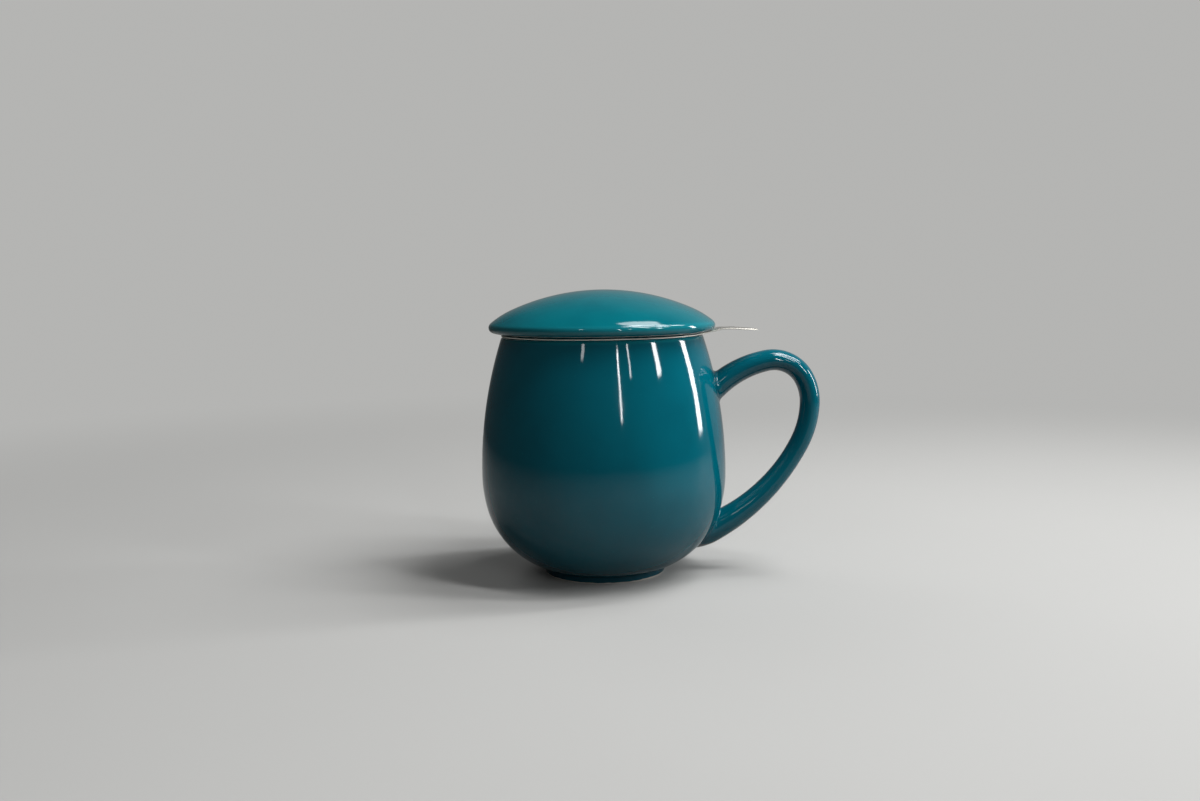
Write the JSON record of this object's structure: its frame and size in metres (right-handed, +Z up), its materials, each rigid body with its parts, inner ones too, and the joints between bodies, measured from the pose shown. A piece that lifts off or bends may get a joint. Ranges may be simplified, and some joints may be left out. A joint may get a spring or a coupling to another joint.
{
  "type": "lidded tea mug with infuser",
  "caption": "Round-bellied glazed tea mug with a bow handle, a loose domed lid and a lift-out perforated steel infuser with a finger tab.",
  "frame": {"origin": "centre of the foot ring's standing face, on the mug's axis", "axes": "+Z up along the mug's axis, +X towards the handle, +Y across"},
  "size_m": [0.1289, 0.0928, 0.1076],
  "materials": {
    "teal_glaze": "glossy deep teal glaze over porcelain",
    "lid_glaze": "glossy deep teal glaze over porcelain",
    "steel": "bright stainless sheet"
  },
  "bodies": {
    "mug": {"mug_body": "teal_glaze", "mug_handle": "teal_glaze"},
    "infuser": {"infuser_rim": "steel", "infuser_wall": "steel", "infuser_floor": "steel"},
    "lid": {"lid": "lid_glaze"}
  },
  "joints": [
    {"name": "infuser_lift", "type": "slide", "parent": "mug", "child": "infuser", "axis": [0, 0, 1], "range_m": [0, 0.08]},
    {"name": "lid_lift", "type": "slide", "parent": "infuser", "child": "lid", "axis": [0, 0, 1], "range_m": [0, 0.06]}
  ]
}
